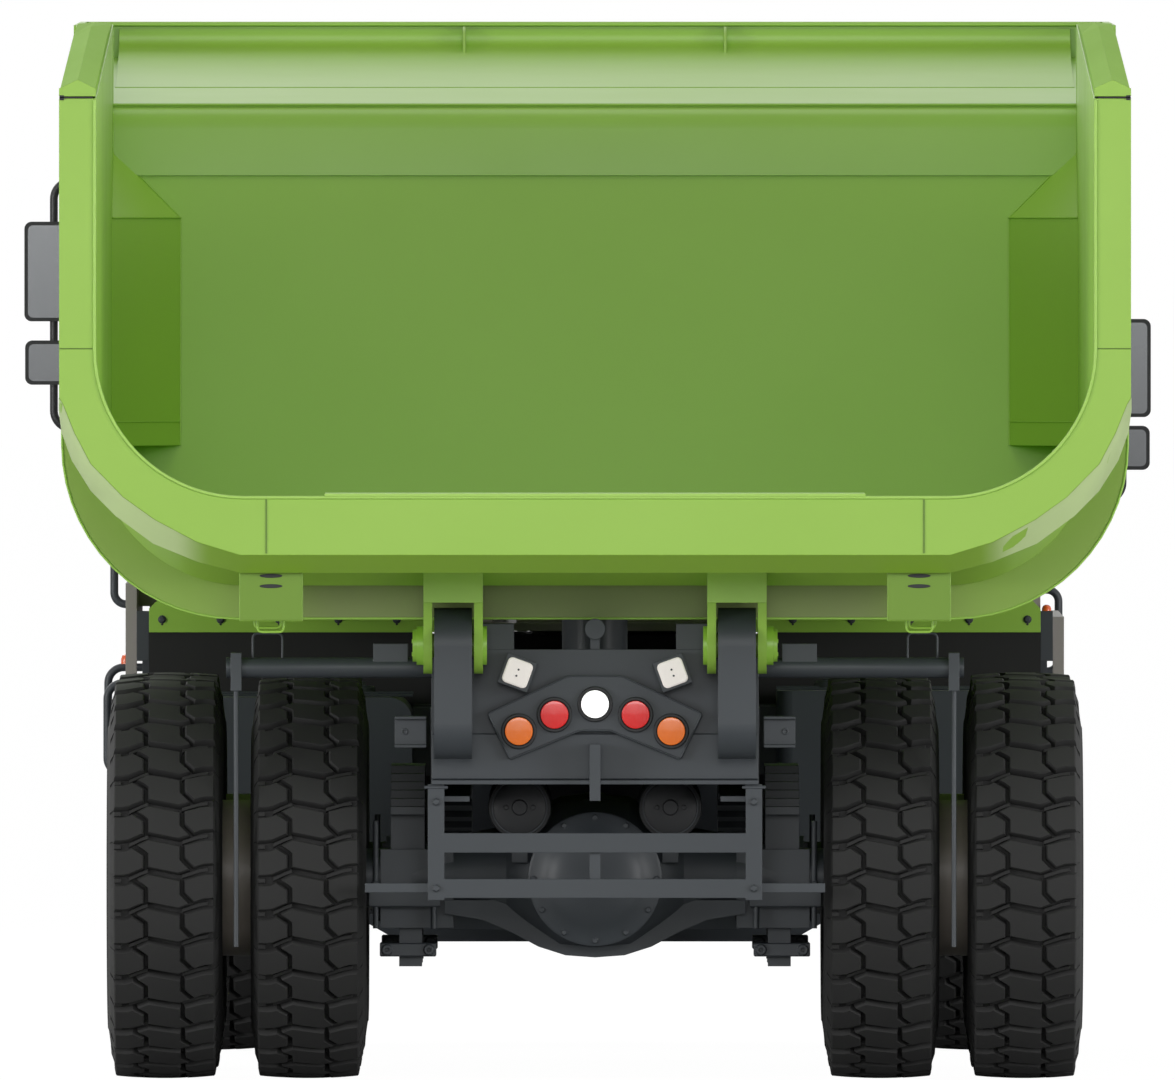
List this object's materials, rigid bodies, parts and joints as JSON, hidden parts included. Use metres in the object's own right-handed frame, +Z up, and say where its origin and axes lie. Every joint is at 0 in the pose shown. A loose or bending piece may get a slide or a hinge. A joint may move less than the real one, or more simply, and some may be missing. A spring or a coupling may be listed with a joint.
{
  "type": "mining dump truck",
  "caption": "Three-axle mining dump truck with a half cab, twin rear tyres, turning front wheels and a steel body that tips to the rear on a telescopic hoist.",
  "frame": {"origin": "on the ground below the middle of the truck's bounding box", "axes": "+X to the truck's left, -Y the way it drives, +Z up"},
  "size_m": [4.353, 9.4, 3.943],
  "materials": {
    "body_green": "gloss lime green paint",
    "frame_slate": "satin slate paint",
    "cab_grey": "satin warm grey paint",
    "tyre": "matte black rubber",
    "rim": "satin pale grey-brown paint",
    "flap_rubber": "matte black",
    "engine": "dark cast iron",
    "tank": "satin slate paint",
    "handrail": "satin slate paint",
    "mirror_plastic": "dark satin",
    "cleaner": "satin slate paint",
    "exhaust": "heat-dulled steel",
    "glass": "clear tinted",
    "interior": "dark grey",
    "lamp": "clear lens",
    "lamp_plate": "satin slate paint",
    "hoist": "satin slate paint",
    "hoist_rod": "ground and chromed"
  },
  "bodies": {
    "chassis": {"air_cleaners": "cleaner", "cab_glass": "glass", "cab_interior": "interior", "cab_shell": "cab_grey", "chassis_frame": "frame_slate", "deck_fenders": "cab_grey", "drive_axles": "frame_slate", "engine_block": "engine", "exhaust_muffler": "exhaust", "front_axle_beam": "frame_slate", "front_bumper": "frame_slate", "front_hood": "cab_grey", "headlamps": "lamp", "ladders_handrails": "handrail", "leaf_springs": "frame_slate", "mirrors": "mirror_plastic", "radiator": "engine", "rock_ejectors": "frame_slate", "splash_flaps": "flap_rubber", "splash_panels": "body_green", "tail_crossmember": "frame_slate", "tail_lamps": "lamp_plate", "tanks": "tank", "underrun_guard": "frame_slate"},
    "bed": {"bed_shell": "body_green", "bed_hoops": "body_green", "bed_canopy": "body_green", "bed_sills": "body_green"},
    "door": {"cab_door": "cab_grey", "cab_door_glass": "glass"},
    "knuckle_left": {"knuckle_left": "frame_slate"},
    "knuckle_right": {"knuckle_right": "frame_slate"},
    "tie_rod": {"tie_rod": "frame_slate"},
    "hoist_barrel": {"hoist_barrel": "hoist"},
    "hoist_stage_1": {"hoist_stage_1": "hoist_rod"},
    "hoist_stage_2": {"hoist_stage_2": "hoist_rod"},
    "hoist_stage_3": {"hoist_stage_3": "hoist_rod"},
    "hoist_stage_4": {"hoist_stage_4": "hoist_rod"},
    "wheel_front_left": {"tyre_front_left": "tyre", "rim_front_left": "rim"},
    "wheel_front_right": {"tyre_front_right": "tyre", "rim_front_right": "rim"},
    "wheel_mid_left": {"tyres_mid_left": "tyre", "rims_mid_left": "rim"},
    "wheel_mid_right": {"tyres_mid_right": "tyre", "rims_mid_right": "rim"},
    "wheel_rear_left": {"tyres_rear_left": "tyre", "rims_rear_left": "rim"},
    "wheel_rear_right": {"tyres_rear_right": "tyre", "rims_rear_right": "rim"}
  },
  "joints": [
    {"name": "steer_left", "type": "hinge", "parent": "chassis", "child": "knuckle_left", "pos_m": [1.19, -2.75, 0.746], "axis": [0, 0, 1], "range_deg": [-35, 35]},
    {"name": "steer_right", "type": "hinge", "parent": "chassis", "child": "knuckle_right", "pos_m": [-1.19, -2.75, 0.746], "axis": [0, 0, 1], "range_deg": [-35, 35]},
    {"name": "tie_rod_swing", "type": "hinge", "parent": "knuckle_left", "child": "tie_rod", "pos_m": [1.19, -2.42, 0.57], "axis": [0, 0, 1], "range_deg": [-35, 35]},
    {"name": "bed_tilt", "type": "hinge", "parent": "chassis", "child": "bed", "pos_m": [0, 3.9, 1.62], "axis": [-1, 0, 0], "range_deg": [0, 47]},
    {"name": "hoist_swing", "type": "hinge", "parent": "chassis", "child": "hoist_barrel", "pos_m": [0, -2.1, 1.15], "axis": [-1, 0, 0], "range_deg": [0, 26.6]},
    {"name": "door_hinge", "type": "hinge", "parent": "chassis", "child": "door", "pos_m": [1.81, -4.144, 2.5], "axis": [0, 0, -1], "range_deg": [0, 70]},
    {"name": "hoist_slide_1", "type": "slide", "parent": "hoist_barrel", "child": "hoist_stage_1", "axis": [0, 0, 1], "range_m": [0, 1.1613]},
    {"name": "hoist_slide_2", "type": "slide", "parent": "hoist_stage_1", "child": "hoist_stage_2", "axis": [0, 0, 1], "range_m": [0, 1.1613]},
    {"name": "hoist_slide_3", "type": "slide", "parent": "hoist_stage_2", "child": "hoist_stage_3", "axis": [0, 0, 1], "range_m": [0, 1.1613]},
    {"name": "hoist_slide_4", "type": "slide", "parent": "hoist_stage_3", "child": "hoist_stage_4", "axis": [0, 0, 1], "range_m": [0, 1.1613]},
    {"name": "roll_front_left", "type": "hinge", "parent": "knuckle_left", "child": "wheel_front_left", "pos_m": [1.456, -2.75, 0.746], "axis": [1, 0, 0], "continuous": true},
    {"name": "roll_front_right", "type": "hinge", "parent": "knuckle_right", "child": "wheel_front_right", "pos_m": [-1.456, -2.75, 0.746], "axis": [1, 0, 0], "continuous": true},
    {"name": "roll_mid_left", "type": "hinge", "parent": "chassis", "child": "wheel_mid_left", "pos_m": [1.33, 1.25, 0.746], "axis": [1, 0, 0], "continuous": true},
    {"name": "roll_mid_right", "type": "hinge", "parent": "chassis", "child": "wheel_mid_right", "pos_m": [-1.33, 1.25, 0.746], "axis": [1, 0, 0], "continuous": true},
    {"name": "roll_rear_left", "type": "hinge", "parent": "chassis", "child": "wheel_rear_left", "pos_m": [1.33, 2.95, 0.746], "axis": [1, 0, 0], "continuous": true},
    {"name": "roll_rear_right", "type": "hinge", "parent": "chassis", "child": "wheel_rear_right", "pos_m": [-1.33, 2.95, 0.746], "axis": [1, 0, 0], "continuous": true}
  ],
  "couplings": [
    {"joint": "steer_right", "follows": "steer_left", "ratio": 1},
    {"joint": "tie_rod_swing", "follows": "steer_left", "ratio": -1},
    {"joint": "hoist_swing", "follows": "bed_tilt", "ratio": 0.56489},
    {"joint": "hoist_slide_1", "follows": "bed_tilt", "m_per_rad": 1.4156},
    {"joint": "hoist_slide_2", "follows": "bed_tilt", "m_per_rad": 1.4156},
    {"joint": "hoist_slide_3", "follows": "bed_tilt", "m_per_rad": 1.4156},
    {"joint": "hoist_slide_4", "follows": "bed_tilt", "m_per_rad": 1.4156}
  ]
}
